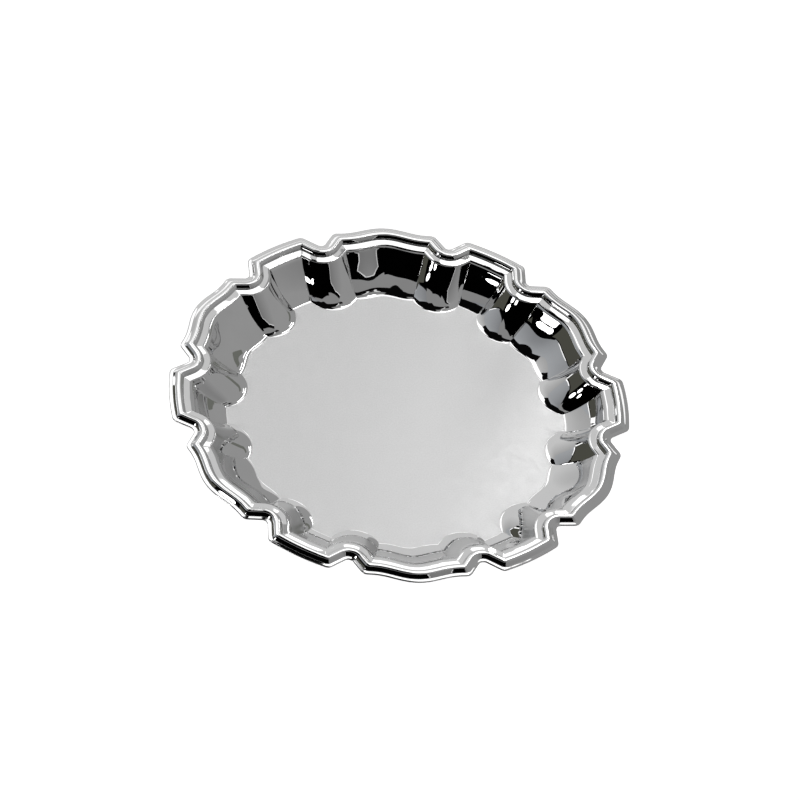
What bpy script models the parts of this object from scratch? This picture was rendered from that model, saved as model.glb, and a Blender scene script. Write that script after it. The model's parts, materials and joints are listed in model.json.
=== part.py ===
# Chippendale tray: a round presentation tray with a scalloped wall and a raised border.
#
# The tray is two pieces. The body is one sheet, drawn into a flat floor, a fluted wall and a
# flat flange. The border moulding is a struck strip that is soldered on the flange and turned
# down over the edge of the sheet.
#
# The pattern has six pairs of lobes. In each pair a long lobe swells softly to its middle and
# a short lobe keeps to one circle, and a rounded notch parts each lobe from the next. Below
# each notch the wall bulges inwards as a flute that ends in a round lobe of the floor.
#
# Lengths are metres and +Z is up. The origin is the centre of the underside, and +Y runs
# through the middle of a long lobe. Angles run clockwise from +Y, as seen from above.

import math

import bpy
from mathutils import Matrix, Vector

# Sheet and depth
SHEET_THICKNESS = 0.0007
CREST_ABOVE_FLOOR = 0.0150
CREST_ABOVE_FLANGE = 0.0019
SEAT_CLEARANCE = 0.0003

# Crest line of the border. The short lobes give the tray its size. The mean radius of the long
# lobes lies inside theirs by the inset, and the notches go down from theirs by the depth.
LOBE_PAIRS = 6
SHORT_LOBE_RADIUS = 0.0973
LONG_LOBE_INSET = 0.00145
LONG_LOBE_SWELL = 0.00108
NOTCH_DEPTH = 0.0076
NOTCH_ROUNDING = 0.00664

# Where the lobes begin and end, as shares of the angle from the middle of a long lobe to the
# middle of the short lobe beside it. A long lobe's swell falls away over its half wave.
LONG_LOBE_END_SHARE = 0.417
NOTCH_MIDDLE_SHARE = 0.587
SHORT_LOBE_START_SHARE = 0.768
CREST_HALF_WAVE_SHARE = 0.317
FLOOR_HALF_WAVE_SHARE = 0.258

# Rounding of the corners, seen from above
LIP_CORNER_ROUNDING = 0.0024
CREST_CORNER_ROUNDING = 0.0010
WALL_CORNER_ROUNDING = 0.0004

# Outline of the floor. The wall of a long lobe takes up the reach from the crest line to the
# floor. From there the floor steps out to its short lobes and in to the bottoms of its flutes.
LONG_WALL_REACH = 0.02455
FLOOR_LONG_SWELL = 0.0007
FLOOR_SHORT_STEP = 0.0037
FLOOR_FLUTE_DEPTH = 0.00485
FLOOR_FLUTE_ROUNDING = 0.01215

# Section of the wall
FOOT_ROUNDING = 0.0090
WALL_TOP_ROUNDING = 0.0015
CREST_TO_WALL_TOP = 0.0057

# Section of the border: places across the crest line, and drops below it
CREST_HALF_WIDTH = 0.00066
INNER_FOOT_REACH = 0.00242
INNER_FOOT_DROP = 0.00115
OUTER_FOOT_REACH = 0.00294
OUTER_FOOT_DROP = 0.00131
LIP_REACH = 0.00437
LIP_DROP = 0.00138
TURN_DOWN_WIDTH = 0.00177

# Each flank of the border's ridge leaves the crest's shoulder and passes through one point
# before its foot. The shares are of the drop to the foot and of the way out to it.
SHOULDER_DROP_SHARE = 0.05
FLANK_DROP_SHARE = 0.55
FLANK_REACH_SHARE = 0.45

# Facets along the outline of half a pair, and up the wall
LONG_LOBE_STEPS = 5
CORNER_STEPS = 2
NOTCH_ARC_STEPS = 6
SHORT_LOBE_STEPS = 2
FOOT_STEPS = 3
WALL_TOP_STEPS = 2

# Steps of the search for the corner of a long lobe of the floor, and the size of the ring
# that frames the middle of the floor
CORNER_SEARCH_STEPS = 12
FLOOR_RING_SHARE = 0.8
SHARP_EDGE_ANGLE = math.radians(30)

# Finish
SILVER_COLOUR = (0.80, 0.80, 0.79, 1.0)
BODY_ROUGHNESS = 0.22
BORDER_ROUGHNESS = 0.08

# Sizes that follow
PAIR_ANGLE = 2.0 * math.pi / LOBE_PAIRS
HALF_PAIR_ANGLE = PAIR_ANGLE / 2.0
LONG_LOBE_END = HALF_PAIR_ANGLE * LONG_LOBE_END_SHARE
FLUTE_ANGLE = HALF_PAIR_ANGLE * NOTCH_MIDDLE_SHARE
SHORT_LOBE_START = HALF_PAIR_ANGLE * SHORT_LOBE_START_SHARE
CREST_HALF_WAVE = HALF_PAIR_ANGLE * CREST_HALF_WAVE_SHARE
FLOOR_HALF_WAVE = HALF_PAIR_ANGLE * FLOOR_HALF_WAVE_SHARE
LONG_LOBE_RADIUS = SHORT_LOBE_RADIUS - LONG_LOBE_INSET
NOTCH_BOTTOM_RADIUS = SHORT_LOBE_RADIUS - NOTCH_DEPTH
FLOOR_LONG_RADIUS = LONG_LOBE_RADIUS - LONG_WALL_REACH
FLOOR_SHORT_RADIUS = FLOOR_LONG_RADIUS + FLOOR_SHORT_STEP
FLOOR_FLUTE_CENTRE = FLOOR_LONG_RADIUS - FLOOR_FLUTE_DEPTH + FLOOR_FLUTE_ROUNDING
CREST_HEIGHT = SHEET_THICKNESS + CREST_ABOVE_FLOOR
FLANGE_HEIGHT = CREST_HEIGHT - CREST_ABOVE_FLANGE
WALL_RISE = CREST_ABOVE_FLOOR - CREST_ABOVE_FLANGE
BORDER_SEAT_HEIGHT = FLANGE_HEIGHT + SEAT_CLEARANCE
FLANGE_UNDERSIDE_HEIGHT = FLANGE_HEIGHT - SHEET_THICKNESS
TURN_DOWN_INSIDE = LIP_REACH - TURN_DOWN_WIDTH
FLANGE_REACH = TURN_DOWN_INSIDE - SEAT_CLEARANCE

# A notch has a straight side, of one facet, on either side of its rounding
FLUTE_STEPS = NOTCH_ARC_STEPS + 2


def polar(angle, radius):
    """The point at an angle and a distance from the tray's centre."""
    return Vector((radius * math.sin(angle), radius * math.cos(angle)))


def steps_between(start, end, steps):
    """Even steps from start to end, with both ends."""
    return [start + (end - start) * step / steps for step in range(steps + 1)]


def angle_of(point):
    """The angle at which a point lies, seen from the tray's centre."""
    return math.atan2(point.x, point.y)


def swelling_point(shape, angle):
    """A point of a long lobe, whose radius swells as a cosine."""
    mean_radius, swell, half_wave = shape
    return polar(angle, mean_radius + swell * math.cos(math.pi * angle / half_wave))


def swelling_normal(shape, angle):
    """The angle of the direction that points straight out of a long lobe."""
    mean_radius, swell, half_wave = shape
    growth = -swell * math.pi / half_wave * math.sin(math.pi * angle / half_wave)
    return angle - math.atan2(growth, swelling_point(shape, angle).length)


def flute_point(centre, rounding, swing):
    """A point round a flute's centre, at a swing from straight inwards."""
    return centre - polar(flute_normal(swing), rounding)


def flute_normal(swing):
    """The angle of the direction that points out of the tray at that point."""
    return FLUTE_ANGLE - swing


def tangent_swing(corner, centre, side):
    """Swing of the point where the line from a notch's corner touches the notch's rounding."""
    towards = corner - centre
    swing = FLUTE_ANGLE + math.pi - angle_of(towards)
    swing = math.remainder(swing, 2.0 * math.pi)
    return swing - side * math.acos(NOTCH_ROUNDING / towards.length)


def corner_arc(corner, normal, next_normal, offset, rounding):
    """A rounded corner whose two sides lie at an offset outside the corner's own sides."""
    middle = (normal + next_normal) / 2.0
    half_turn = (next_normal - normal) / 2.0
    centre = corner + polar(middle, (offset - rounding) / math.cos(half_turn))
    return [
        centre + polar(direction, rounding)
        for direction in steps_between(normal, next_normal, CORNER_STEPS)
    ]


def corner_rounding(offset):
    """Rounding of the corners at an offset from the crest line, sharper towards the floor."""
    if offset > 0.0:
        return CREST_CORNER_ROUNDING + (LIP_CORNER_ROUNDING - CREST_CORNER_ROUNDING) * (
            offset / LIP_REACH
        )
    return CREST_CORNER_ROUNDING + (WALL_CORNER_ROUNDING - CREST_CORNER_ROUNDING) * (
        -offset / CREST_TO_WALL_TOP
    )


def crest_half_pair(offset):
    """Outline at a distance outside the crest line, over half a pair of lobes.

    It runs from the middle of a long lobe to the middle of the short lobe beside it."""
    long_shape = (LONG_LOBE_RADIUS, LONG_LOBE_SWELL, CREST_HALF_WAVE)
    long_corner = swelling_point(long_shape, LONG_LOBE_END)
    short_corner = polar(SHORT_LOBE_START, SHORT_LOBE_RADIUS)
    centre = polar(FLUTE_ANGLE, NOTCH_BOTTOM_RADIUS + NOTCH_ROUNDING)
    first_swing = tangent_swing(long_corner, centre, -1)
    last_swing = tangent_swing(short_corner, centre, 1)
    rounding = corner_rounding(offset)

    long_normal = swelling_normal(long_shape, LONG_LOBE_END)
    long_arc = corner_arc(long_corner, long_normal, flute_normal(first_swing), offset, rounding)
    long_lobe = []
    for angle in steps_between(0.0, angle_of(long_arc[0]), LONG_LOBE_STEPS)[:-1]:
        normal = swelling_normal(long_shape, angle)
        long_lobe.append(swelling_point(long_shape, angle) + polar(normal, offset))

    notch = [
        flute_point(centre, NOTCH_ROUNDING - offset, swing)
        for swing in steps_between(first_swing, last_swing, NOTCH_ARC_STEPS)
    ]

    short_arc = corner_arc(
        short_corner, flute_normal(last_swing), SHORT_LOBE_START, offset, rounding
    )
    short_lobe = [
        polar(angle, SHORT_LOBE_RADIUS + offset)
        for angle in steps_between(angle_of(short_arc[-1]), HALF_PAIR_ANGLE, SHORT_LOBE_STEPS)
    ]
    return long_lobe + long_arc + notch + short_arc + short_lobe[1:]


def flute_meeting(radius):
    """Where a circle round the tray's centre meets the edge of a flute in the floor.

    The first is the angle from the flute about the tray's centre, the second is the swing
    about the flute's own centre."""
    reach = FLOOR_FLUTE_CENTRE
    cosine = (radius**2 + reach**2 - FLOOR_FLUTE_ROUNDING**2) / (2.0 * radius * reach)
    side = math.acos(cosine)
    return side, math.atan2(radius * math.sin(side), reach - radius * cosine)


def floor_half_pair():
    """Outline of the floor over half a pair of lobes, with as many points as the crest's."""
    long_shape = (FLOOR_LONG_RADIUS, FLOOR_LONG_SWELL, FLOOR_HALF_WAVE)
    corner_angle = 0.0
    for _ in range(CORNER_SEARCH_STEPS):
        side, long_swing = flute_meeting(swelling_point(long_shape, corner_angle).length)
        corner_angle = FLUTE_ANGLE - side
    short_side, short_swing = flute_meeting(FLOOR_SHORT_RADIUS)
    short_start = FLUTE_ANGLE + short_side

    long_arc = corner_arc(
        swelling_point(long_shape, corner_angle),
        swelling_normal(long_shape, corner_angle),
        flute_normal(-long_swing),
        0.0,
        WALL_CORNER_ROUNDING,
    )
    short_arc = corner_arc(
        polar(short_start, FLOOR_SHORT_RADIUS),
        flute_normal(short_swing),
        short_start,
        0.0,
        WALL_CORNER_ROUNDING,
    )
    long_lobe = [
        swelling_point(long_shape, angle)
        for angle in steps_between(0.0, angle_of(long_arc[0]), LONG_LOBE_STEPS)
    ]
    centre = polar(FLUTE_ANGLE, FLOOR_FLUTE_CENTRE)
    flute = [
        flute_point(centre, FLOOR_FLUTE_ROUNDING, swing)
        for swing in steps_between(-long_swing, short_swing, FLUTE_STEPS)
    ]
    short_lobe = [
        polar(angle, FLOOR_SHORT_RADIUS)
        for angle in steps_between(angle_of(short_arc[-1]), HALF_PAIR_ANGLE, SHORT_LOBE_STEPS)
    ]
    return long_lobe[:-1] + long_arc + flute[1:-1] + short_arc + short_lobe[1:]


def full_outline(half_pair):
    """The closed outline: the half pair, its mirror image, and both turned round the tray."""
    mirrored = [Vector((-point.x, point.y)) for point in half_pair[-2:0:-1]]
    pair = half_pair + [turned(point, PAIR_ANGLE) for point in mirrored]
    return [turned(point, PAIR_ANGLE * number) for number in range(LOBE_PAIRS) for point in pair]


def turned(point, angle):
    """A point turned clockwise about the tray's centre."""
    return Matrix.Rotation(-angle, 2) @ point


def ring_at(outline, height):
    """The outline as points at one height."""
    return [Vector((point.x, point.y, height)) for point in outline]


def wall_slope(run):
    """Slope of the wall's straight part over a run, between its two roundings."""
    roundings = FOOT_ROUNDING + WALL_TOP_ROUNDING
    root = math.sqrt(run**2 + WALL_RISE * (WALL_RISE - 2.0 * roundings))
    return 2.0 * math.atan(WALL_RISE / (run + root))


def wall_rings(floor_outline, top_outline):
    """Rings up the wall's inner face: the foot's rounding, then the rounding at its top."""
    columns = []
    for foot, top in zip(floor_outline, top_outline):
        run = (top - foot).length
        outward = (top - foot).normalized()
        slope = wall_slope(run)
        column = []
        for angle in steps_between(0.0, slope, FOOT_STEPS):
            place = foot + outward * (FOOT_ROUNDING * math.sin(angle))
            height = SHEET_THICKNESS + FOOT_ROUNDING * (1.0 - math.cos(angle))
            column.append(Vector((place.x, place.y, height)))
        for angle in steps_between(slope, 0.0, WALL_TOP_STEPS):
            place = top - outward * (WALL_TOP_ROUNDING * math.sin(angle))
            height = FLANGE_HEIGHT - WALL_TOP_ROUNDING * (1.0 - math.cos(angle))
            column.append(Vector((place.x, place.y, height)))
        columns.append(column)
    return [list(ring) for ring in zip(*columns)]


def add_lofted_object(name, rings, closed_section, floor, material, collection):
    """An object lofted through rings of as many points each.

    A closed section joins the last ring to the first. A floor fills the first ring."""
    count = len(rings[0])
    points = [point for ring in rings for point in ring]
    faces = []
    ring_pairs = len(rings) if closed_section else len(rings) - 1
    for lower in range(ring_pairs):
        upper = (lower + 1) % len(rings)
        for place in range(count):
            after = (place + 1) % count
            faces.append(
                (
                    lower * count + place,
                    lower * count + after,
                    upper * count + after,
                    upper * count + place,
                )
            )
    if floor:
        faces.append(tuple(reversed(range(count))))
    mesh = bpy.data.meshes.new(name)
    mesh.from_pydata(points, [], faces)
    mesh.shade_smooth()
    mesh.set_sharp_from_angle(angle=SHARP_EDGE_ANGLE)
    mesh.materials.append(material)
    piece = bpy.data.objects.new(name, mesh)
    collection.objects.link(piece)
    return piece


def add_tray_body(material, collection):
    """The drawn sheet: floor, fluted wall and the flange that carries the border."""
    floor_outline = full_outline(floor_half_pair())
    inner_floor = [point * FLOOR_RING_SHARE for point in floor_outline]
    wall_top = full_outline(crest_half_pair(-CREST_TO_WALL_TOP))
    flange_edge = full_outline(crest_half_pair(FLANGE_REACH))
    rings = [ring_at(inner_floor, SHEET_THICKNESS)]
    rings += wall_rings(floor_outline, wall_top)
    rings.append(ring_at(flange_edge, FLANGE_HEIGHT))
    body = add_lofted_object("tray_body", rings, False, True, material, collection)
    sheet = body.modifiers.new("Sheet", "SOLIDIFY")
    sheet.thickness = SHEET_THICKNESS
    sheet.offset = -1.0
    sheet.use_even_offset = True
    return body


def ridge_face(side, reach, drop):
    """One face of the border's ridge, from its foot up to the crest's shoulder."""
    flank_reach = CREST_HALF_WIDTH + (reach - CREST_HALF_WIDTH) * FLANK_REACH_SHARE
    return [
        (side * reach, CREST_HEIGHT - drop),
        (side * flank_reach, CREST_HEIGHT - drop * FLANK_DROP_SHARE),
        (side * CREST_HALF_WIDTH, CREST_HEIGHT - drop * SHOULDER_DROP_SHARE),
    ]


def border_section():
    """Section of the border as pairs of a place across the crest line and a height."""
    inner_face = ridge_face(-1, INNER_FOOT_REACH, INNER_FOOT_DROP)
    outer_face = ridge_face(1, OUTER_FOOT_REACH, OUTER_FOOT_DROP)
    underside = [
        (LIP_REACH, FLANGE_UNDERSIDE_HEIGHT),
        (TURN_DOWN_INSIDE, FLANGE_UNDERSIDE_HEIGHT),
        (TURN_DOWN_INSIDE, BORDER_SEAT_HEIGHT),
        (-INNER_FOOT_REACH, BORDER_SEAT_HEIGHT),
    ]
    lip = [(LIP_REACH, CREST_HEIGHT - LIP_DROP)]
    return inner_face + [(0.0, CREST_HEIGHT)] + outer_face[::-1] + lip + underside


def add_border_moulding(material, collection):
    """The struck strip on the flange: a ridge, a flat lip and an edge turned down over the sheet."""
    rings = []
    for offset, height in border_section():
        rings.append(ring_at(full_outline(crest_half_pair(offset)), height))
    return add_lofted_object("border_moulding", rings, True, False, material, collection)


def add_silver(name, roughness):
    """Silver plate with a given polish."""
    material = bpy.data.materials.new(name)
    material.use_nodes = True
    shader = material.node_tree.nodes["Principled BSDF"]
    shader.inputs["Base Color"].default_value = SILVER_COLOUR
    shader.inputs["Metallic"].default_value = 1.0
    shader.inputs["Roughness"].default_value = roughness
    return material


def main():
    for leftover in list(bpy.data.objects):
        bpy.data.objects.remove(leftover, do_unlink=True)
    collection = bpy.data.collections.new("chippendale_tray")
    bpy.context.scene.collection.children.link(collection)
    add_tray_body(add_silver("satin_silver", BODY_ROUGHNESS), collection)
    add_border_moulding(add_silver("polished_silver", BORDER_ROUGHNESS), collection)


main()
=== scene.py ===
# %% [markdown]
# # A Chippendale presentation tray in silver plate
#
# This lesson dresses a imported CAD model of a small round silver tray. The tray has a satin
# floor, a fluted wall with a mirror polish, and a raised border whose outline goes in and out
# in lobes and notches. Silver has hardly a colour of its own. What it shows is the room around
# it, so half of the work here is the metal's shape and the other half is the studio.
#
# The first step loads the CAD model as a fixed frame. All that follows is made in metres in the
# same place, and the size of the CAD model is kept.

# %% Load the CAD model
import json
import math

import bmesh
import bpy
from mathutils import Matrix, Vector

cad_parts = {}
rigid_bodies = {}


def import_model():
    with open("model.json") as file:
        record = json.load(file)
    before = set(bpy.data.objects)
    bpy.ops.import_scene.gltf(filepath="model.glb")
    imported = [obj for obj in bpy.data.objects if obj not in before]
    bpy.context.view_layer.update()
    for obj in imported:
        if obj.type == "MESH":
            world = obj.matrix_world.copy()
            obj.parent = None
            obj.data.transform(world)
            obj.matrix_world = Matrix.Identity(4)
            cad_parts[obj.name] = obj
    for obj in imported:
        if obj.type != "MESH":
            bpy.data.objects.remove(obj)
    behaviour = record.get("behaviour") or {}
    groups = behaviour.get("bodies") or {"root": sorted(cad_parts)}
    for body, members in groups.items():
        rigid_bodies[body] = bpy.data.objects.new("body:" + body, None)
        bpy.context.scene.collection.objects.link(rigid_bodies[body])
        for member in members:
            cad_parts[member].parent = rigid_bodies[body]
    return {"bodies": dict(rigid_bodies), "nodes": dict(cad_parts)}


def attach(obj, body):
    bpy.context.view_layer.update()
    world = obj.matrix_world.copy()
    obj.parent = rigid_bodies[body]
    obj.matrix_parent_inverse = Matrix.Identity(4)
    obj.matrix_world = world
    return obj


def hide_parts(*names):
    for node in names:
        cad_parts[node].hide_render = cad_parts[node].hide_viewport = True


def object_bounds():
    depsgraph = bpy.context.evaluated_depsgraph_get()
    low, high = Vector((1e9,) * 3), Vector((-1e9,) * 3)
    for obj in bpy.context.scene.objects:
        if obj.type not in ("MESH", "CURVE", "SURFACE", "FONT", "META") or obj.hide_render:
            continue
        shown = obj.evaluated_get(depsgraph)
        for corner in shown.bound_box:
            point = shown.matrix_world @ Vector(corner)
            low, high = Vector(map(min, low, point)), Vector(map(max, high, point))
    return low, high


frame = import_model()
cad_low, cad_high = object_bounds()
bpy.ops.object.select_all(action="DESELECT")
print("CAD nodes:", sorted(frame["nodes"]))
print("CAD box:", [round(x, 5) for x in cad_low], [round(x, 5) for x in cad_high])

# %% [markdown]
# ## The camera
#
# The photograph looks down on the tray at about 49 degrees from far away through a long lens,
# so the ellipse of the rim is nearly true. The camera is also turned a little about its own
# axis, which makes the tray lean to the right in the picture. The lens is shifted by a few
# thousandths of the picture's width, only to put the tray where it is in the frame.

# %% Place the camera
CAMERA_AZIMUTH = math.radians(-12.74)
CAMERA_ELEVATION = math.radians(49.06)
CAMERA_ROLL = math.radians(11.03)
CAMERA_DISTANCE = 2.056
SENSOR_WIDTH_MM = 36.0
FOCAL_LENGTH_MM = 211.5
LENS_SHIFT = (-0.0008, -0.0032)
NEAREST_SEEN, FARTHEST_SEEN = 0.05, 50.0
CREST_HEIGHT = cad_high.z

towards_camera = Vector(
    (
        math.sin(CAMERA_AZIMUTH) * math.cos(CAMERA_ELEVATION),
        -math.cos(CAMERA_AZIMUTH) * math.cos(CAMERA_ELEVATION),
        math.sin(CAMERA_ELEVATION),
    )
)
camera_data = bpy.data.cameras.new("photo_camera")
camera_data.sensor_width = SENSOR_WIDTH_MM
camera_data.lens = FOCAL_LENGTH_MM
camera_data.shift_x, camera_data.shift_y = LENS_SHIFT
camera_data.clip_start, camera_data.clip_end = NEAREST_SEEN, FARTHEST_SEEN
camera = bpy.data.objects.new("photo_camera", camera_data)
bpy.context.scene.collection.objects.link(camera)
camera.location = Vector((0.0, 0.0, CREST_HEIGHT)) + towards_camera * CAMERA_DISTANCE
aim = (-towards_camera).to_track_quat("-Z", "Y").to_matrix()
camera.rotation_euler = (aim @ Matrix.Rotation(CAMERA_ROLL, 3, "Z")).to_euler()
bpy.context.scene.camera = camera
print("Camera at", [round(x, 3) for x in camera.location])

# %% [markdown]
# ## Sizes of the pattern
#
# The wall and the border follow the same outline, the crest line of the border. It is drawn as
# half a pair of lobes, from the middle of a long lobe to the middle of the short lobe beside
# it. That is a twelfth of the way round. A mirror image and six turns make the rest.
#
# The sizes are those of the CAD model. The steps are much finer here, because a mirror shows
# each facet as a broken line.

# %% Write down the sizes
LOBE_PAIRS = 6
SHORT_LOBE_RADIUS = 0.0973
LONG_LOBE_RADIUS = 0.09585
LONG_LOBE_SWELL = 0.00108
NOTCH_BOTTOM_RADIUS = 0.0897
NOTCH_ROUNDING = 0.00664
HALF_PAIR_ANGLE = math.pi / LOBE_PAIRS
LONG_LOBE_END = HALF_PAIR_ANGLE * 0.417
FLUTE_ANGLE = HALF_PAIR_ANGLE * 0.587
SHORT_LOBE_START = HALF_PAIR_ANGLE * 0.768
CREST_HALF_WAVE = HALF_PAIR_ANGLE * 0.317
FLOOR_HALF_WAVE = HALF_PAIR_ANGLE * 0.258

SHEET_THICKNESS = 0.0007
FLANGE_HEIGHT = CREST_HEIGHT - 0.0019
FLOOR_LONG_RADIUS = 0.0713
FLOOR_LONG_SWELL = 0.0007
FLOOR_SHORT_RADIUS = 0.0750
FLOOR_FLUTE_CENTRE = 0.0786
FLOOR_FLUTE_ROUNDING = 0.01215
FLOOR_RISE = 0.00012
CREST_TO_WALL_TOP = 0.0050
FLANGE_SLOPE = math.radians(5.0)
FLANGE_REACH = 0.0032
LIP_REACH = 0.00437
LIP_CORNER = 0.0034
CREST_CORNER = 0.0017
WALL_CORNER = 0.0004

CREST_SHAPE = (LONG_LOBE_RADIUS, LONG_LOBE_SWELL, CREST_HALF_WAVE)
FLOOR_SHAPE = (FLOOR_LONG_RADIUS, FLOOR_LONG_SWELL, FLOOR_HALF_WAVE)

LONG_LOBE_STEPS = 24
CORNER_STEPS = 6
NOTCH_SIDE_STEPS = 2
NOTCH_ARC_STEPS = 20
SHORT_LOBE_STEPS = 12
FLUTE_STEPS = NOTCH_ARC_STEPS + 2 * NOTCH_SIDE_STEPS
print("Half a pair of lobes spans", round(math.degrees(HALF_PAIR_ANGLE), 1), "degrees")

# %% [markdown]
# ## Drawing the outline
#
# A long lobe swells as a cosine, a short lobe keeps to one circle, and the notch between them
# is an arc with two straight sides. Every corner is rounded. Angles run the way Blender's own
# circle does, anticlockwise from +Y, so that a circle can be laid on the outline point by
# point. The pattern is its own mirror image, so the direction makes no other difference.
#
# The first helpers find single points. A swelling lobe is given by its mean radius, its swell
# and the angle of half a wave. A place in a notch or flute is given by its swing, the angle
# about the centre of the arc, counted from the line to the middle of the tray.


# %% Find points on a lobe and in a notch
def polar(angle, radius):
    """The point at an angle and a distance from the centre."""
    return Vector((-radius * math.sin(angle), radius * math.cos(angle)))


def even_steps(start, end, steps):
    """Even steps from start to end, with both ends."""
    return [start + (end - start) * step / steps for step in range(steps + 1)]


def angle_of(point):
    return math.atan2(-point.x, point.y)


def swelling_point(shape, angle):
    mean_radius, swell, half_wave = shape
    return polar(angle, mean_radius + swell * math.cos(math.pi * angle / half_wave))


def swelling_normal(shape, angle):
    mean_radius, swell, half_wave = shape
    growth = -swell * math.pi / half_wave * math.sin(math.pi * angle / half_wave)
    return angle - math.atan2(growth, swelling_point(shape, angle).length)


def flute_point(centre, rounding, swing):
    return centre - polar(FLUTE_ANGLE - swing, rounding)


middle_radius = swelling_point(CREST_SHAPE, 0.0).length
print("Crest radius at the middle of a long lobe, mm:", round(middle_radius * 1000, 2))

# %% [markdown]
# A corner becomes an arc that turns from the direction of one side to that of the next. A line
# outside the crest line takes the corner in a wider arc and one inside it in a tighter arc, so
# the rounding shrinks from the lip to the wall.


# %% Round the corners and find the sides of a notch
def tangent_swing(corner, centre, side):
    """Swing at which the straight side from a corner touches the arc of the notch."""
    towards = corner - centre
    swing = math.remainder(FLUTE_ANGLE + math.pi - angle_of(towards), 2.0 * math.pi)
    return swing - side * math.acos(NOTCH_ROUNDING / towards.length)


def corner_arc(corner, normal, next_normal, offset, rounding):
    middle = (normal + next_normal) / 2.0
    half_turn = (next_normal - normal) / 2.0
    centre = corner + polar(middle, (offset - rounding) / math.cos(half_turn))
    turns = even_steps(normal, next_normal, CORNER_STEPS)
    return [centre + polar(turn, rounding) for turn in turns]


def corner_rounding(offset):
    """Corners are rounder towards the lip and sharper towards the floor."""
    if offset > 0.0:
        return CREST_CORNER + (LIP_CORNER - CREST_CORNER) * offset / LIP_REACH
    return CREST_CORNER + (CREST_CORNER - WALL_CORNER) * offset / CREST_TO_WALL_TOP


def side_points(start, end):
    return [start.lerp(end, step / NOTCH_SIDE_STEPS) for step in range(1, NOTCH_SIDE_STEPS)]


for line, offset in (("lip", LIP_REACH), ("top of the wall", -CREST_TO_WALL_TOP)):
    print("Corners are rounded at the", line, "by, mm:", round(corner_rounding(offset) * 1000, 2))


# %% Draw half a pair of lobes at any distance from the crest line
def crest_half_pair(offset):
    """Half a pair of lobes, at a distance outside the crest line."""
    long_corner = swelling_point(CREST_SHAPE, LONG_LOBE_END)
    short_corner = polar(SHORT_LOBE_START, SHORT_LOBE_RADIUS)
    centre = polar(FLUTE_ANGLE, NOTCH_BOTTOM_RADIUS + NOTCH_ROUNDING)
    first_swing = tangent_swing(long_corner, centre, -1)
    last_swing = tangent_swing(short_corner, centre, 1)
    rounding = corner_rounding(offset)

    long_normal = swelling_normal(CREST_SHAPE, LONG_LOBE_END)
    first_side = FLUTE_ANGLE - first_swing
    last_side = FLUTE_ANGLE - last_swing
    long_arc = corner_arc(long_corner, long_normal, first_side, offset, rounding)
    long_lobe = []
    for angle in even_steps(0.0, angle_of(long_arc[0]), LONG_LOBE_STEPS)[:-1]:
        out = polar(swelling_normal(CREST_SHAPE, angle), offset)
        long_lobe.append(swelling_point(CREST_SHAPE, angle) + out)
    notch = [
        flute_point(centre, NOTCH_ROUNDING - offset, swing)
        for swing in even_steps(first_swing, last_swing, NOTCH_ARC_STEPS)
    ]
    short_arc = corner_arc(short_corner, last_side, SHORT_LOBE_START, offset, rounding)
    short_lobe = [
        polar(angle, SHORT_LOBE_RADIUS + offset)
        for angle in even_steps(angle_of(short_arc[-1]), HALF_PAIR_ANGLE, SHORT_LOBE_STEPS)
    ]
    into_notch = side_points(long_arc[-1], notch[0])
    out_of_notch = side_points(notch[-1], short_arc[0])
    return long_lobe + long_arc + into_notch + notch + out_of_notch + short_arc + short_lobe[1:]


print("Points in half a pair:", len(crest_half_pair(0.0)))

# %% [markdown]
# The floor has an outline of its own. Where the notch of the rim comes down as a flute, the
# floor has a round bay that pushes the wall inwards. The floor's outline has as many points as
# the rim's, because each point of the one is joined to a point of the other by the wall.
#
# A long lobe ends where it meets the bay. Its radius there depends on the angle and the angle on
# the radius, so the two are found in a few rounds.


# %% Draw half a pair of lobes of the floor
MEETING_ROUNDS = 12


def flute_meeting(radius):
    """Where a circle round the centre meets a flute: the angle from the flute, and its swing."""
    reach = FLOOR_FLUTE_CENTRE
    cosine = (radius**2 + reach**2 - FLOOR_FLUTE_ROUNDING**2) / (2.0 * radius * reach)
    side = math.acos(cosine)
    return side, math.atan2(radius * math.sin(side), reach - radius * cosine)


def floor_half_pair():
    corner_angle = 0.0
    for _ in range(MEETING_ROUNDS):
        side, long_swing = flute_meeting(swelling_point(FLOOR_SHAPE, corner_angle).length)
        corner_angle = FLUTE_ANGLE - side
    short_side, short_swing = flute_meeting(FLOOR_SHORT_RADIUS)
    short_start = FLUTE_ANGLE + short_side
    long_corner = swelling_point(FLOOR_SHAPE, corner_angle)
    long_normal = swelling_normal(FLOOR_SHAPE, corner_angle)
    long_arc = corner_arc(long_corner, long_normal, FLUTE_ANGLE + long_swing, 0.0, WALL_CORNER)
    short_corner = polar(short_start, FLOOR_SHORT_RADIUS)
    short_arc = corner_arc(short_corner, FLUTE_ANGLE - short_swing, short_start, 0.0, WALL_CORNER)
    long_lobe = [
        swelling_point(FLOOR_SHAPE, angle)
        for angle in even_steps(0.0, angle_of(long_arc[0]), LONG_LOBE_STEPS)
    ]
    centre = polar(FLUTE_ANGLE, FLOOR_FLUTE_CENTRE)
    flute = [
        flute_point(centre, FLOOR_FLUTE_ROUNDING, swing)
        for swing in even_steps(-long_swing, short_swing, FLUTE_STEPS)
    ]
    short_lobe = [
        polar(angle, FLOOR_SHORT_RADIUS)
        for angle in even_steps(angle_of(short_arc[-1]), HALF_PAIR_ANGLE, SHORT_LOBE_STEPS)
    ]
    return long_lobe[:-1] + long_arc + flute[1:-1] + short_arc + short_lobe[1:]


print("Points in half a pair of the floor:", len(floor_half_pair()))


# %% Mirror and turn the half pair into a full outline
def turned(point, angle):
    return Matrix.Rotation(angle, 2) @ point


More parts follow.
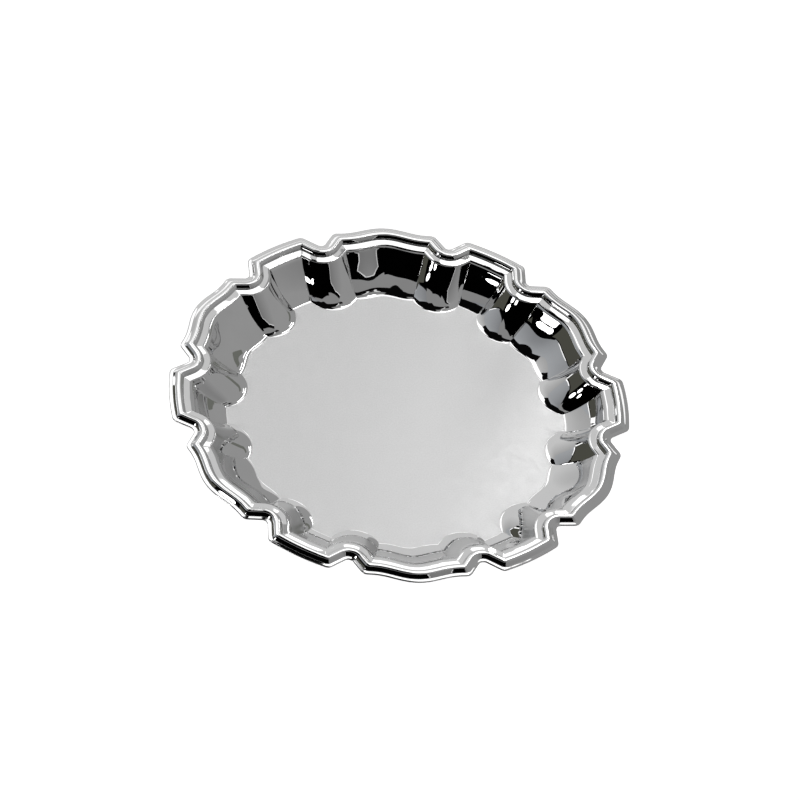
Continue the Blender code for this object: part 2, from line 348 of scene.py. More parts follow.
def full_outline(half_pair):
    """The half pair, its mirror image, and both turned six times round the tray."""
    pair_angle = 2.0 * HALF_PAIR_ANGLE
    mirrored = [Vector((-point.x, point.y)) for point in half_pair[-2:0:-1]]
    pair = half_pair + [turned(point, pair_angle) for point in mirrored]
    return [turned(point, pair_angle * number) for number in range(LOBE_PAIRS) for point in pair]


def ring_at(outline, height):
    return [Vector((point.x, point.y, height)) for point in outline]


floor_outline = full_outline(floor_half_pair())
wall_top_outline = full_outline(crest_half_pair(-CREST_TO_WALL_TOP))
PAIR_POINTS = len(floor_outline) // LOBE_PAIRS
print("Points round the floor and the wall's top:", len(floor_outline), len(wall_top_outline))

# %% [markdown]
# ## A way to build up a ring at a time
#
# Both pieces are made as a smith raises them, from an edge outwards. A circle is added, and
# its points are laid on the first outline. Then its edges are extruded again and again, and
# each new ring is laid on the next outline. Every point carries a number that tells its place
# round the tray. An extruded point inherits the number of the point it came from, so no ring
# can slip.


# %% Helpers that start a ring and add the next one
PLACE_LAYER = "place_round"


def lay_selected_ring(piece, ring):
    """Puts the selected points on the ring, each by the number it carries."""
    work = bmesh.from_edit_mesh(piece.data)
    number = work.verts.layers.int[PLACE_LAYER]
    for vertex in work.verts:
        if vertex.select:
            vertex.co = ring[vertex[number]]
    bmesh.update_edit_mesh(piece.data)


def start_ring(name, ring):
    """A new object in edit mode with one ring of edges."""
    bpy.ops.object.select_all(action="DESELECT")
    bpy.ops.mesh.primitive_circle_add(vertices=len(ring), radius=ring[0].length)
    piece = bpy.context.object
    piece.name = piece.data.name = name
    numbers = piece.data.attributes.new(PLACE_LAYER, "INT", "POINT")
    numbers.data.foreach_set("value", range(len(ring)))
    bpy.ops.object.mode_set(mode="EDIT")
    bpy.ops.mesh.select_all(action="SELECT")
    lay_selected_ring(piece, ring)
    return piece


def add_ring(piece, ring):
    bpy.ops.mesh.extrude_edges_move()
    lay_selected_ring(piece, ring)


print("Each point carries its number in the layer", PLACE_LAYER)

# %% [markdown]
# ## The drawn sheet
#
# The body is one sheet of metal, drawn in a press. In a section the wall starts with a
# rounding at the foot, goes on as a long hollow sweep that gets steeper, and turns over at the
# top into a flange. The flange climbs by a few degrees towards the border. The hollow matters
# more than anything else in the picture: a straight wall would mirror the room in stripes, and
# a hollow one gathers it into shields and drops.
#
# A lobe and a flute have sweeps of their own, because the press pulls the metal of a flute
# further. Each sweep is given by its rounding at the foot, by how far its hollow turns, and by
# its rounding at the top. Three places to each side of a flute's ends the two sweeps are mixed.
# The ends lie in the corners: one place before the first corner is over, and two places after
# the last one has begun.


# %% Write down the sweeps
LONG_SWEEP = (0.0123, math.radians(35.0), 0.0030)
FLUTE_SWEEP = (0.0114, math.radians(26.3), 0.0013)
SHORT_SWEEP = (0.0054, math.radians(38.3), 0.0030)
FLUTE_FIRST_PLACE = LONG_LOBE_STEPS + CORNER_STEPS - 1
FLUTE_LAST_PLACE = LONG_LOBE_STEPS + CORNER_STEPS + FLUTE_STEPS + 2
SWEEP_BLEND = 3.0


def soft_step(value):
    value = min(max(value, 0.0), 1.0)
    return value * value * (3.0 - 2.0 * value)


def sweep_at(place_round):
    """The three numbers of the sweep at a place round the tray, mixed near the corners."""
    place = place_round % PAIR_POINTS
    place = min(place, PAIR_POINTS - place)
    past_long = soft_step((place - FLUTE_FIRST_PLACE) / (2.0 * SWEEP_BLEND) + 0.5)
    in_short = soft_step((place - FLUTE_LAST_PLACE) / (2.0 * SWEEP_BLEND) + 0.5)
    return [
        long * (1.0 - past_long) + flute * (past_long - in_short) + short * in_short
        for long, flute, short in zip(LONG_SWEEP, FLUTE_SWEEP, SHORT_SWEEP)
    ]


print("A flute runs from place", FLUTE_FIRST_PLACE, "to", FLUTE_LAST_PLACE, "of the outline")

# %% [markdown]
# How steep the foot gets follows from the distance to the wall's top: a steeper foot makes a
# shorter sweep. The slope is found by halving the range between a gentle and a steep one again
# and again.


# %% Fit a sweep between two points
FOOT_CREASE = math.radians(4.0)
STEEPEST_FOOT = math.radians(70.0)
FOOT_HEIGHT = SHEET_THICKNESS + FLOOR_RISE
FLANGE_CLIMB = FLANGE_REACH * math.tan(FLANGE_SLOPE)
WALL_RISE = FLANGE_HEIGHT - FOOT_HEIGHT - FLANGE_CLIMB
HALVINGS = 40


def sweep_sizes(foot_slope, sweep):
    """Length of the hollow, and the run of the whole sweep, for a slope at its foot."""
    foot, turn, top = sweep
    steepest = foot_slope + turn
    foot_rise = foot * (math.cos(FOOT_CREASE) - math.cos(foot_slope))
    top_rise = top * (math.cos(FLANGE_SLOPE) - math.cos(steepest))
    radius = (WALL_RISE - foot_rise - top_rise) / (math.cos(foot_slope) - math.cos(steepest))
    run = foot * (math.sin(foot_slope) - math.sin(FOOT_CREASE))
    run += radius * (math.sin(steepest) - math.sin(foot_slope))
    return radius, run + top * (math.sin(steepest) - math.sin(FLANGE_SLOPE))


def find_foot_slope(run, sweep):
    gentle, steep = FOOT_CREASE, STEEPEST_FOOT
    for _ in range(HALVINGS):
        foot_slope = (gentle + steep) / 2.0
        if sweep_sizes(foot_slope, sweep)[1] > run:
            gentle = foot_slope
        else:
            steep = foot_slope
    return foot_slope


long_run = (wall_top_outline[0] - floor_outline[0]).length
long_slope = math.degrees(find_foot_slope(long_run, LONG_SWEEP))
print("Slope at the foot of a long lobe, degrees:", round(long_slope, 1))

# %% Work out the rings of the wall
FOOT_STEPS, HOLLOW_STEPS, TOP_STEPS = 10, 12, 8


def wall_column(foot, top, sweep):
    """Points up the wall from a point of the floor's outline to one of the wall's top."""
    outward = (top - foot).normalized()
    foot_slope = find_foot_slope((top - foot).length, sweep)
    foot_rounding, turn, top_rounding = sweep
    hollow_radius = sweep_sizes(foot_slope, sweep)[0]
    steepest = foot_slope + turn
    arcs = (
        (FOOT_CREASE, foot_slope, FOOT_STEPS, foot_rounding),
        (foot_slope, steepest, HOLLOW_STEPS, hollow_radius),
        (steepest, FLANGE_SLOPE, TOP_STEPS, -top_rounding),
    )
    path = [
        (angle, radius)
        for start, end, steps, radius in arcs
        for angle in even_steps(start, end, steps)[1:]
    ]
    column = [Vector((foot.x, foot.y, FOOT_HEIGHT))]
    before, along, height = FOOT_CREASE, 0.0, FOOT_HEIGHT
    for angle, radius in path:
        along += radius * (math.sin(angle) - math.sin(before))
        height += radius * (math.cos(before) - math.cos(angle))
        place = foot + outward * along
        column.append(Vector((place.x, place.y, height)))
        before = angle
    return column


columns = [
    wall_column(foot, top, sweep_at(place))
    for place, (foot, top) in enumerate(zip(floor_outline, wall_top_outline))
]
wall_rings = [list(ring) for ring in zip(*columns)]
print("Rings up the wall:", len(wall_rings))

# %% Raise the wall and the flange
CLIMBING_OFFSETS = (-0.0041, -0.0032, -0.0025)
FLAT_OFFSETS = (FLANGE_REACH - CREST_TO_WALL_TOP, -0.0012, 0.0, 0.0023)

body = start_ring("silver_tray_body", wall_rings[0])
for ring in wall_rings[1:]:
    add_ring(body, ring)
for offset in CLIMBING_OFFSETS:
    climbed = (offset + CREST_TO_WALL_TOP) * math.tan(FLANGE_SLOPE)
    height = FLANGE_HEIGHT - FLANGE_CLIMB + climbed
    add_ring(body, ring_at(full_outline(crest_half_pair(offset)), height))
for offset in FLAT_OFFSETS:
    add_ring(body, ring_at(full_outline(crest_half_pair(offset)), FLANGE_HEIGHT))
print("Rings of the flange:", len(CLIMBING_OFFSETS) + len(FLAT_OFFSETS))

# %% [markdown]
# The floor is filled in from the foot of the wall inwards. The ring at the foot is selected
# again, extruded and shrunk a few times, and merged to one point in the middle. A pressed floor
# springs up a little at its edge, so the outer rings lie a tenth of a millimetre higher.

# %% Fill in the floor
FLOOR_SHARES = (0.985, 0.97, 0.955, 0.94, 0.92, 0.90, 0.88, 0.8, 0.6, 0.3)
FLAT_FLOOR_SHARE = 0.88
JUST_ABOVE_FOOT = FOOT_HEIGHT + 1e-7

bpy.ops.mesh.select_all(action="DESELECT")
work = bmesh.from_edit_mesh(body.data)
for vertex in work.verts:
    vertex.select = vertex.co.z < JUST_ABOVE_FOOT
work.select_flush(True)
bmesh.update_edit_mesh(body.data)
share_before, height_before = 1.0, FOOT_HEIGHT
for share in FLOOR_SHARES:
    shrink = share / share_before
    past_flat = max(share - FLAT_FLOOR_SHARE, 0.0) / (1.0 - FLAT_FLOOR_SHARE)
    height = SHEET_THICKNESS + FLOOR_RISE * past_flat**2
    bpy.ops.mesh.extrude_edges_move()
    bpy.ops.transform.resize(value=(shrink, shrink, 1.0), center_override=(0.0, 0.0, 0.0))
    bpy.ops.transform.translate(value=(0.0, 0.0, height - height_before))
    share_before, height_before = share, height
bpy.ops.mesh.extrude_edges_move()
bpy.ops.mesh.merge(type="CENTER")
bpy.ops.mesh.select_all(action="SELECT")
bpy.ops.mesh.normals_make_consistent(inside=False)
bpy.ops.object.mode_set(mode="OBJECT")
upward = sum(face.normal.z * face.area for face in body.data.polygons)
print("The floor faces", "up" if upward > 0.0 else "down")
print("Faces of the sheet's upper side:", len(body.data.polygons))


# %% Give the sheet its thickness
def select_only(piece):
    bpy.ops.object.select_all(action="DESELECT")
    piece.select_set(True)
    bpy.context.view_layer.objects.active = piece


select_only(body)
sheet = body.modifiers.new("Sheet", "SOLIDIFY")
sheet.thickness = SHEET_THICKNESS
sheet.offset = -1.0
sheet.use_even_offset = True
bpy.ops.object.modifier_apply(modifier=sheet.name)
print("Faces of the sheet:", len(body.data.polygons))

# %% [markdown]
# ## The border
#
# The border is a struck strip with a raised ridge. From the inside out its section has a thin
# foot on the flange, a face that rises to the rounded crest, an outer face that falls more
# gently, a flat lip, and an edge that is turned down over the sheet.
#
# The section is set out as a few points with a slope at each, and smooth curves join them.


# %% Join two points of a section by a curve
def bent_line(start, start_slope, end, end_slope, steps):
    """A smooth curve between two points of a section, with a slope at each end."""
    third = (end[0] - start[0]) / 3.0
    points = [
        Vector(start),
        Vector((start[0] + third, start[1] + third * start_slope)),
        Vector((end[0] - third, end[1] - third * end_slope)),
        Vector(end),
    ]
    curve = []
    for share in even_steps(0.0, 1.0, steps):
        rest = 1.0 - share
        weights = (rest**3, 3.0 * rest**2 * share, 3.0 * rest * share**2, share**3)
        parts = (point * weight for point, weight in zip(points, weights))
        curve.append(sum(parts, Vector((0.0, 0.0))))
    return curve


half_way = bent_line((0.0, 0.0), 0.0, (1.0, 1.0), 0.0, 2)[1]
print("A curve between two flat ends passes", [round(x, 2) for x in half_way], "half way")


# %% Set out the points of the section
def below_crest(offset, drop):
    return Vector((offset, CREST_HEIGHT - drop))


inner_foot = below_crest(-0.00230, 0.00180)
inner_face = below_crest(-0.00195, 0.00098)
inner_shoulder = below_crest(-0.00080, 0.00006)
crest = below_crest(0.0, 0.0)
outer_shoulder = below_crest(0.00080, 0.00006)
outer_bend = below_crest(0.00120, 0.00021)
outer_face = below_crest(0.00250, 0.00130)
lip_start = below_crest(0.00280, 0.00140)
lip_end = below_crest(0.00395, 0.00146)
edge_middle = below_crest(LIP_REACH, 0.00200)
print("The lip lies below the crest by, mm:", round((crest.y - lip_start.y) * 1000, 2))

# %% Join the points to a closed section
SECTION_CURVES = (
    (inner_foot, 3.0, inner_face, 1.2, 5),
    (inner_face, 1.2, inner_shoulder, 0.14, 10),
    (inner_shoulder, 0.14, crest, 0.0, 5),
    (crest, 0.0, outer_shoulder, -0.14, 5),
    (outer_shoulder, -0.14, outer_bend, -0.75, 5),
    (outer_bend, -0.75, outer_face, -0.93, 6),
    (outer_face, -0.93, lip_start, -0.07, 5),
    (lip_start, -0.07, lip_end, -0.07, 3),
)
EDGE_STEPS = 6
EDGE_BEVEL = 0.00012
TURNED_EDGE_INSIDE = 0.0026
SEAT_START = -0.00225
SEAT_GAP = 0.00002

section = [inner_foot]
for start, start_slope, end, end_slope, steps in SECTION_CURVES:
    section += bent_line(start, start_slope, end, end_slope, steps)[1:]
for turn in even_steps(0.0, math.pi / 2.0, EDGE_STEPS)[1:]:
    across = (edge_middle.x - lip_end.x) * math.sin(turn)
    down = (edge_middle.y - lip_end.y) * (1.0 - math.cos(turn))
    section.append(Vector((lip_end.x + across, lip_end.y + down)))
underside = FLANGE_HEIGHT - SHEET_THICKNESS
seat = FLANGE_HEIGHT + SEAT_GAP
section += [
    Vector((LIP_REACH, underside + EDGE_BEVEL)),
    Vector((LIP_REACH - EDGE_BEVEL, underside)),
    Vector((TURNED_EDGE_INSIDE, underside)),
    Vector((TURNED_EDGE_INSIDE, seat)),
    Vector((SEAT_START, seat)),
]
print("Points of the section:", len(section))

# %% Sweep the section round the tray
SAME_PLACE = 1e-6

border_rings = [ring_at(full_outline(crest_half_pair(p.x)), p.y) for p in section]
border = start_ring("silver_border_moulding", border_rings[0])
for ring in border_rings[1:] + border_rings[:1]:
    add_ring(border, ring)
bpy.ops.mesh.select_all(action="SELECT")
bpy.ops.mesh.remove_doubles(threshold=SAME_PLACE)
bpy.ops.mesh.normals_make_consistent(inside=False)
bpy.ops.object.mode_set(mode="OBJECT")
print("Faces of the border:", len(border.data.polygons))

# %% [markdown]
# ## Finishes
#
# Silver plate has two finishes here. The wall and the border are polished until they mirror the
# room. The floor is satin: it was rubbed with a fine abrasive, so that it shows a soft glow in
# place of a picture. Both are the same metal, and only the roughness and the relief differ.
#
# A flawless mirror gives away a computer drawing. Polishing by hand leaves very low waves that
# bend a reflection a little, faint marks, and patches that are a shade less bright. All of
# these are noises on Object coordinates, so they lie still in the metal from wherever the tray
# is seen. The heights are real ones: a wave of a twelfth of a millimetre is enough.


# %% Start a metal and lay a noise in it
PLAIN_DETAIL, USUAL_DETAIL, FINE_DETAIL = 1.0, 2.0, 3.0


def new_silver(name, colour, roughness):
    """A polished metal, with its node tree and its shader to add to."""
    material = bpy.data.materials.new(name)
    material.use_nodes = True
    tree = material.node_tree
    shader = tree.nodes["Principled BSDF"]
    shader.inputs["Base Color"].default_value = (*colour, 1.0)
    shader.inputs["Metallic"].default_value = 1.0
    shader.inputs["Roughness"].default_value = roughness
    return material, tree, shader


def noise_in_metal(tree, waves_per_metre, detail=USUAL_DETAIL):
    """A noise that lies still in the metal."""
    place = tree.nodes.new("ShaderNodeTexCoord")
    noise = tree.nodes.new("ShaderNodeTexNoise")
    noise.inputs["Scale"].default_value = waves_per_metre
    noise.inputs["Detail"].default_value = detail
    tree.links.new(place.outputs["Object"], noise.inputs["Vector"])
    return noise.outputs["Fac"]


print("Layers of detail in a noise:", PLAIN_DETAIL, USUAL_DETAIL, FINE_DETAIL)

# %% [markdown]
# A noise seldom leaves the middle of its range, so the middle is spread over the wanted range.
# It then drives the roughness, the shade or the relief.

# %% Let a noise vary the metal
NOISE_LOW, NOISE_HIGH = 0.3, 0.7


def vary_roughness(tree, shader, noise, low, high):
    spread = tree.nodes.new("ShaderNodeMapRange")
    spread.inputs["From Min"].default_value = NOISE_LOW
    spread.inputs["From Max"].default_value = NOISE_HIGH
    spread.inputs["To Min"].default_value = low
    spread.inputs["To Max"].default_value = high
    tree.links.new(noise, spread.inputs["Value"])
    tree.links.new(spread.outputs["Result"], shader.inputs["Roughness"])


def vary_colour(tree, shader, noise, dark, light):
    ramp = tree.nodes.new("ShaderNodeValToRGB")
    first, last = ramp.color_ramp.elements
    first.position, last.position = NOISE_LOW, NOISE_HIGH
    first.color, last.color = (*dark, 1.0), (*light, 1.0)
    tree.links.new(noise, ramp.inputs["Fac"])
    tree.links.new(ramp.outputs["Color"], shader.inputs["Base Color"])


def add_relief(tree, noise, height, below=None):
    """Relief of a height in metres, on top of the relief below it."""
    relief = tree.nodes.new("ShaderNodeBump")
    relief.inputs["Distance"].default_value = height
    tree.links.new(noise, relief.inputs["Height"])
    if below is not None:
        tree.links.new(below, relief.inputs["Normal"])
    return relief.outputs["Normal"]


print("Noise is spread between", NOISE_LOW, "and", NOISE_HIGH)

# %% [markdown]
# The mirror polish has four noises, given in waves to the metre: patches of shade, patches of
# polish, the low waves of the metal, and the marks of use.

# %% Mirror polish for the wall and the border
MIRROR_SHADE, MIRROR_DULL, MIRROR_BRIGHT = (0.93,) * 3, (0.90,) * 3, (0.945,) * 3
MIRROR_ROUGHNESS, MIRROR_SMOOTHEST, MIRROR_ROUGHEST = 0.02, 0.012, 0.04
SHADE_PATCHES, POLISH_PATCHES, WAVES, MARKS = 60.0, 300.0, 110.0, 900.0
WAVE_HEIGHT, MARK_HEIGHT = 0.00008, 0.0000012

mirror, tree, shader = new_silver("mirror_silver", MIRROR_SHADE, MIRROR_ROUGHNESS)
vary_colour(tree, shader, noise_in_metal(tree, SHADE_PATCHES), MIRROR_DULL, MIRROR_BRIGHT)
polish = noise_in_metal(tree, POLISH_PATCHES)
vary_roughness(tree, shader, polish, MIRROR_SMOOTHEST, MIRROR_ROUGHEST)
waves = add_relief(tree, noise_in_metal(tree, WAVES, PLAIN_DETAIL), WAVE_HEIGHT)
marks = add_relief(tree, noise_in_metal(tree, MARKS), MARK_HEIGHT, below=waves)
tree.links.new(marks, shader.inputs["Normal"])
print("Nodes in", mirror.name, len(tree.nodes))

# %% [markdown]
# The satin of the floor has a grain of less than a millimetre, which a zoomed view shows as a
# soft mottle. Its colour is a little darker than the mirror's, because light that bounces
# about in the scratches loses some of its strength.

# %% Satin for the floor
SATIN_SHADE, SATIN_DULL, SATIN_BRIGHT = (0.755,) * 3, (0.725,) * 3, (0.785,) * 3
SATIN_ROUGHNESS, SATIN_SMOOTHEST, SATIN_ROUGHEST = 0.30, 0.285, 0.315
MOTTLE, RUBBED_PATCHES, GRAIN = 1500.0, 400.0, 2500.0
GRAIN_HEIGHT = 0.000002

satin, tree, shader = new_silver("satin_silver", SATIN_SHADE, SATIN_ROUGHNESS)
mottle = noise_in_metal(tree, MOTTLE, FINE_DETAIL)
vary_colour(tree, shader, mottle, SATIN_DULL, SATIN_BRIGHT)
rubbed = noise_in_metal(tree, RUBBED_PATCHES)
vary_roughness(tree, shader, rubbed, SATIN_SMOOTHEST, SATIN_ROUGHEST)
grain = add_relief(tree, noise_in_metal(tree, GRAIN, FINE_DETAIL), GRAIN_HEIGHT)
tree.links.new(grain, shader.inputs["Normal"])
print("Nodes in", satin.name, len(tree.nodes))

# %% [markdown]
# The satin goes on every upward face of the floor that lies lower than the foot of the wall.
# Then edges sharper than 35 degrees stay crisp, and all others are shaded as one smooth face.

# %% Lay the finishes on the pieces
LEVEL_ENOUGH = 0.99
JUST_BELOW_FOOT = FOOT_HEIGHT - 1e-8

body.data.materials.append(mirror)
body.data.materials.append(satin)
border.data.materials.append(mirror)
for face in body.data.polygons:
    if face.normal.z > LEVEL_ENOUGH and face.center.z < JUST_BELOW_FOOT:
        face.material_index = 1
satin_area = sum(face.area for face in body.data.polygons if face.material_index == 1)
print("Satin floor, square centimetres:", round(satin_area * 10000.0, 1))

# %% Smooth the pieces
CRISP_ANGLE = math.radians(35.0)

for piece in (body, border):
    select_only(piece)
    bpy.ops.object.shade_smooth_by_angle(angle=CRISP_ANGLE)
    crisp = sum(1 for edge in piece.data.edges if edge.use_edge_sharp)
    print(piece.name, "has", crisp, "crisp edges")

# %% [markdown]
# ## Join the pieces to the CAD model
#
# Each piece takes the place of one CAD node and rides on the tray's only body.

# %% Join the pieces
body_name = list(frame["bodies"])[0]
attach(body, body_name)
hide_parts("tray_body")
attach(border, body_name)
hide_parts("border_moulding")
print("Both pieces ride on", body_name)

# %% [markdown]
# ## The studio: a white table
#
# The tray stands on plain white paper that runs out to white surroundings. The paper has its
# own faint glow for the camera and for reflections, just enough to lift it to white, and it
# takes real light besides, so the tray still throws a soft shadow on it.

# %% White surroundings
WHITE = (1.0, 1.0, 1.0, 1.0)

scene = bpy.context.scene
scene.view_settings.view_transform = "Standard"
world = bpy.data.worlds.new("white_surroundings")
scene.world = world
world.use_nodes = True
world.node_tree.nodes["Background"].inputs["Color"].default_value = WHITE
print("Surroundings:", world.name)

# %% Lay the white paper
PAPER_RADIUS = 4.0
PAPER_SIDES = 64
PAPER_PLACE = (0.0, 0.0, -0.00005)

bpy.ops.object.select_all(action="DESELECT")
bpy.ops.mesh.primitive_circle_add(
    vertices=PAPER_SIDES, radius=PAPER_RADIUS, fill_type="NGON", location=PAPER_PLACE
)
paper = bpy.context.object
paper.name = paper.data.name = "white_paper"
print("Paper of", 2.0 * PAPER_RADIUS, "metres across")

# %% [markdown]
# The glow is switched by the kind of ray. A ray from the camera sees it, and so does a ray that
# was mirrored or that came through glass. A ray that only carries light from the paper doesn't,
# so the glow lights nothing.

# %% Let the paper glow
PAPER_SHADE = (0.9, 0.9, 0.9, 1.0)
PAPER_GLOW = 0.83

paper_material = bpy.data.materials.new("white_paper")
paper_material.use_nodes = True
nodes, links = paper_material.node_tree.nodes, paper_material.node_tree.links
nodes.clear()
output = nodes.new("ShaderNodeOutputMaterial")
matt = nodes.new("ShaderNodeBsdfDiffuse")
matt.inputs["Color"].default_value = PAPER_SHADE
glow = nodes.new("ShaderNodeEmission")
both = nodes.new("ShaderNodeAddShader")
light_path = nodes.new("ShaderNodeLightPath")
seen_or_mirrored = nodes.new("ShaderNodeMath")
or_through_glass = nodes.new("ShaderNodeMath")
seen_or_mirrored.operation = or_through_glass.operation = "MAXIMUM"
strength = nodes.new("ShaderNodeMath")
strength.operation = "MULTIPLY"
strength.inputs[1].default_value = PAPER_GLOW
links.new(light_path.outputs["Is Camera Ray"], seen_or_mirrored.inputs[0])
links.new(light_path.outputs["Is Glossy Ray"], seen_or_mirrored.inputs[1])
links.new(seen_or_mirrored.outputs[0], or_through_glass.inputs[0])
links.new(light_path.outputs["Is Transmission Ray"], or_through_glass.inputs[1])
links.new(or_through_glass.outputs[0], strength.inputs[0])
links.new(strength.outputs[0], glow.inputs["Strength"])
links.new(matt.outputs[0], both.inputs[0])
links.new(glow.outputs[0], both.inputs[1])
links.new(both.outputs[0], output.inputs["Surface"])
paper.data.materials.append(paper_material)
print("Nodes in the paper:", len(nodes))

# %% [markdown]
# ## The studio: what the silver sees
#
# Silver shows its surroundings, so a photographer stands cards round it: white ones that give
# the bright faces, grey ones for the calm faces and black ones for depth. The photograph can be
# read backwards. A wall that leans at a known slope mirrors a known direction, so each patch in
# the metal tells where a card stands and how light it is.
#
# Every card is a piece of a sphere round the tray, given by the directions in which the tray
# sees it: an azimuth, clockwise from the far side, and an elevation, both in degrees. A nearer
# card hides a farther one, so the room is built up from a grey shell inwards. The cards light
# the tray and show in it, and the camera doesn't see them.


# %% Find directions and greys
far_side = Vector((-towards_camera.x, -towards_camera.y, 0.0)).normalized()
right_side = far_side.cross(Vector((0.0, 0.0, 1.0)))
SCREEN_GAMMA = 2.2


def direction(azimuth, elevation):
    azimuth, elevation = math.radians(azimuth), math.radians(elevation)
    level_part = far_side * math.cos(azimuth) + right_side * math.sin(azimuth)
    return level_part * math.cos(elevation) + Vector((0.0, 0.0, math.sin(elevation)))


def grey(share_of_white):
    """Light that is seen as this share of white."""
    return (share_of_white**SCREEN_GAMMA,) * 3


print("The far side lies towards", [round(x, 3) for x in far_side])

# %% [markdown]
# A card or a lamp only glows. Most have one shade. A card that fades has a shade painted on each
# of its points, in a layer that its material reads.

# %% Make a thing glow
SHADE_LAYER = "fading_shade"


def make_glowing(thing, name, shade):
    """Names a card or lamp, lets it glow, and hides it from the camera alone."""
    thing.name = thing.data.name = name
    material = bpy.data.materials.new(name)
    material.use_nodes = True
    tree = material.node_tree
    tree.nodes.clear()
    out = tree.nodes.new("ShaderNodeOutputMaterial")
    light = tree.nodes.new("ShaderNodeEmission")
    light.inputs["Color"].default_value = (*shade, 1.0)
    if SHADE_LAYER in thing.data.color_attributes:
        painted = tree.nodes.new("ShaderNodeVertexColor")
        painted.layer_name = SHADE_LAYER
        tree.links.new(painted.outputs["Color"], light.inputs["Color"])
    tree.links.new(light.outputs[0], out.inputs["Surface"])
    thing.data.materials.append(material)
    thing.visible_camera = False


def cards_and_lamps():
    return sum(1 for thing in scene.objects if not thing.visible_camera)


print("Cards and lamps so far:", cards_and_lamps())

# %% Add a card or a lamp
CARD_STRIPS = (16, 8)
LAMP_DISTANCE = 2.8
LAMP_FACETS = (24, 12)
LAMP_SHADE = (3.0, 3.0, 3.0)


def add_card(name, distance, shade, azimuths, elevations, last_elevations=None, last_shade=None):
    """A card between two azimuths. Elevations and shade may change from the first to the last."""
    last_elevations = last_elevations or elevations
    bpy.ops.mesh.primitive_grid_add(x_subdivisions=CARD_STRIPS[0], y_subdivisions=CARD_STRIPS[1])
    card = bpy.context.object
    if last_shade is not None:
        paint = card.data.color_attributes.new(SHADE_LAYER, "FLOAT_COLOR", "POINT")
    for vertex in card.data.vertices:
        across, up = (vertex.co.x + 1.0) / 2.0, (vertex.co.y + 1.0) / 2.0
        azimuth = azimuths[0] + (azimuths[1] - azimuths[0]) * across
        low = elevations[0] + (last_elevations[0] - elevations[0]) * across
        high = elevations[1] + (last_elevations[1] - elevations[1]) * across
        vertex.co = direction(azimuth, low + (high - low) * up) * distance
        if last_shade is not None:
            shade_here = Vector(shade).lerp(Vector(last_shade), across)
            paint.data[vertex.index].color = (*shade_here, 1.0)
    make_glowing(card, name, shade)


def add_lamp(name, azimuth, elevation, radius):
    """A small round lamp, whose radius is in degrees too."""
    bpy.ops.mesh.primitive_uv_sphere_add(
        segments=LAMP_FACETS[0],
        ring_count=LAMP_FACETS[1],
        radius=LAMP_DISTANCE * math.radians(radius),
        location=direction(azimuth, elevation) * LAMP_DISTANCE,
    )
    make_glowing(bpy.context.object, name, LAMP_SHADE)


print("A card has", CARD_STRIPS[0] * CARD_STRIPS[1], "facets")

# %% [markdown]
# The room comes first: a grey shell all round, a dark half behind the camera and a dark top.
# The far side of the tray leans towards the camera and mirrors what is behind it, so the dark
# half makes it black. A photographer would hang black cloth there. The ceiling is grey in
# parts, and shows as a band along the foot of the tray's far wall.

# %% Stand the grey shell and the dark half of the room
ROOM_GREY = grey(0.60)
DARK, NEARLY_DARK, CEILING = grey(0.02), grey(0.06), grey(0.52)
WALL_GREY, WALL_EDGE = grey(0.57), grey(0.85)
add_card("room", 3.8, ROOM_GREY, (-180, 180), (-1, 90))
add_card("dark_side", 3.5, DARK, (117, 256), (-1, 68))
add_card("dark_top", 3.6, NEARLY_DARK, (-180, 180), (53, 90))
add_card("ceiling_right", 3.4, CEILING, (76, 150), (63, 90))
add_card("ceiling_back", 3.4, CEILING, (150, 205), (67, 90), (66, 90))
add_card("ceiling_left", 3.3, CEILING, (205, 246), (66, 79), (48, 79))
add_card("ceiling_patch", 3.3, CEILING, (6, 52), (55, 71.5))
add_card("ceiling_patch_edge", 3.3, WALL_EDGE, (28, 66), (71.5, 73))
print("Cards so far:", cards_and_lamps())

# %% [markdown]
# The left side of the tray mirrors a grey wall on the right as one calm grey. Towards its end
# that wall fades to a darker grey, slopes down and has a light edge. The far side of the tray
# shows the end as a shield with a pale outline. A lamp's stand makes the dark drop on the left.

# %% Stand the grey wall on the right
WALL_END_GREY, WALL_LAST_GREY = grey(0.51), grey(0.46)
STAND_GREEN = (0.14, 0.145, 0.13)
add_card("right_wall", 3.2, WALL_GREY, (8, 90), (-1, 57))
add_card("right_wall_fading", 3.2, WALL_GREY, (90, 116), (-1, 57), last_shade=WALL_END_GREY)
add_card("right_wall_top", 3.25, WALL_GREY, (8, 95), (53, 66))
add_card("right_wall_edge", 3.2, WALL_EDGE, (95, 116), (57, 58.3))
add_card("right_wall_end", 3.2, WALL_END_GREY, (116, 134), (-1, 57), (-1, 48), WALL_LAST_GREY)
add_card("right_wall_end_top", 3.2, WALL_EDGE, (116, 134), (57, 58.3), (48, 49.3))
add_card("right_wall_end_side", 3.2, WALL_EDGE, (134, 135.2), (-1, 49))
add_card("lamp_stand", 3.0, STAND_GREEN, (36, 42), (6, 42))
print("Cards so far:", cards_and_lamps())

# %% [markdown]
# The near side of the tray leans away from the camera and mirrors the far wall of the room, so
# that wall is pale. Towards the left it fades to a mid grey. Soft boxes hang high on it and
# give the white lines along the border. Two small soft boxes stand close to the tray. The
# light of a near lamp falls off quickly, so the satin floor is brighter towards the right.

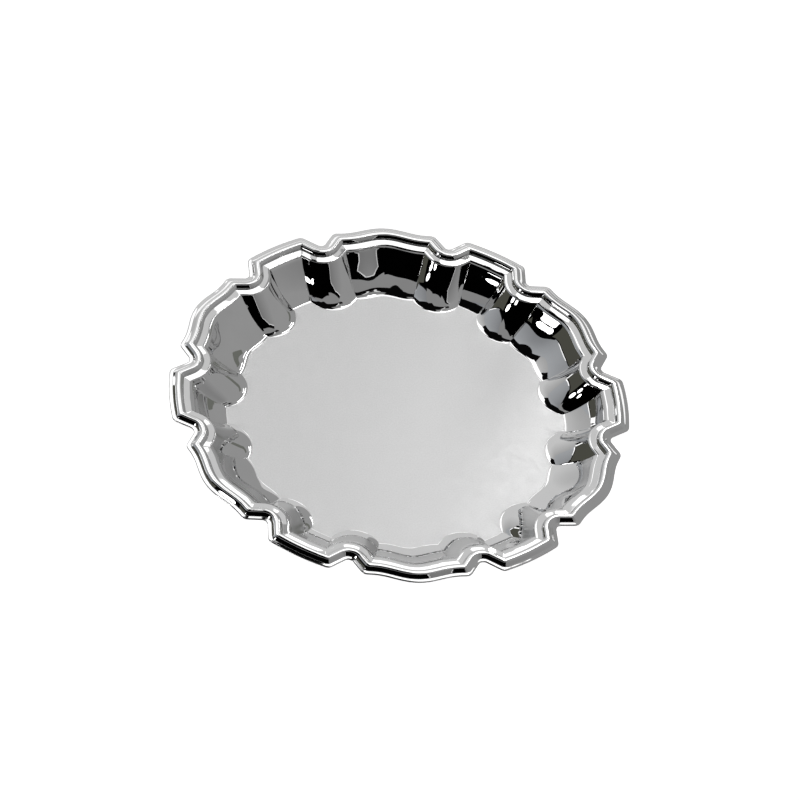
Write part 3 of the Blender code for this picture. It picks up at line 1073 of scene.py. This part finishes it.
# %% Stand the pale far wall and the soft boxes
SOFT_BOX, NEAR_SOFT_BOX, EDGE_SOFT_BOX = (1.3,) * 3, (5.2,) * 3, (3.0,) * 3
PALE_GREY, MID_GREY = grey(0.78), grey(0.64)
add_card("far_wall", 3.2, PALE_GREY, (-30, 8), (-1, 57))
add_card("far_wall_left", 3.2, MID_GREY, (-61, -30), (-1, 54), (-1, 57), PALE_GREY)
add_card("soft_box", 3.0, SOFT_BOX, (-3.5, 3), (42, 61))
add_card("soft_box_top", 3.0, SOFT_BOX, (3, 11), (53, 62))
add_card("soft_strip", 3.0, SOFT_BOX, (-34, -9), (54, 59), (44, 60))
add_card("near_soft_box", 0.8, NEAR_SOFT_BOX, (10.5, 13.5), (46, 61))
add_card("edge_soft_box", 0.42, EDGE_SOFT_BOX, (14, 16.5), (44, 51))
print("Cards so far:", cards_and_lamps())

# %% [markdown]
# The right side of the tray mirrors the wall on the left, which is a cool grey and fades too. It
# has an open doorway of a dark olive tone, with a black frame and a lit edge. The cards slope,
# because the doorway is seen at a slant in the photograph.

# %% Stand the left wall with its doorway
COOL_DARKER, COOL_LIGHTER = (0.215, 0.222, 0.232), (0.355, 0.367, 0.383)
DOORWAY = (0.068, 0.068, 0.056)
add_card("left_wall", 3.1, COOL_DARKER, (240, 299), (-1, 75), (-1, 67), COOL_LIGHTER)
add_card("door_shadow", 3.05, DARK, (236, 263), (-1, 58), (-1, 35))
add_card("doorway", 3.03, DOORWAY, (250, 300), (-1, 38), (-1, 12))
add_card("door_frame", 3.03, DARK, (262, 300), (31.7, 33.5), (12, 13.5))
add_card("door_light_top", 3.03, SOFT_BOX, (276, 300), (26.3, 27.3), (13.5, 15))
add_card("door_light_side", 3.0, SOFT_BOX, (300, 303), (-1, 12))
add_card("low_dark", 3.0, NEARLY_DARK, (303, 309), (-1, 9))
print("Cards so far:", cards_and_lamps())

# %% [markdown]
# Four round lamps hang in the dark half. They are the white dots in the flutes on the right.

# %% Hang the lamps
add_lamp("lamp_1", 232, 24, 4.8)
add_lamp("lamp_2", 236, 36, 5.5)
add_lamp("lamp_3", 215.5, 27, 4.0)
add_lamp("lamp_4", 235, 13.5, 2.4)
print("Cards and lamps:", cards_and_lamps())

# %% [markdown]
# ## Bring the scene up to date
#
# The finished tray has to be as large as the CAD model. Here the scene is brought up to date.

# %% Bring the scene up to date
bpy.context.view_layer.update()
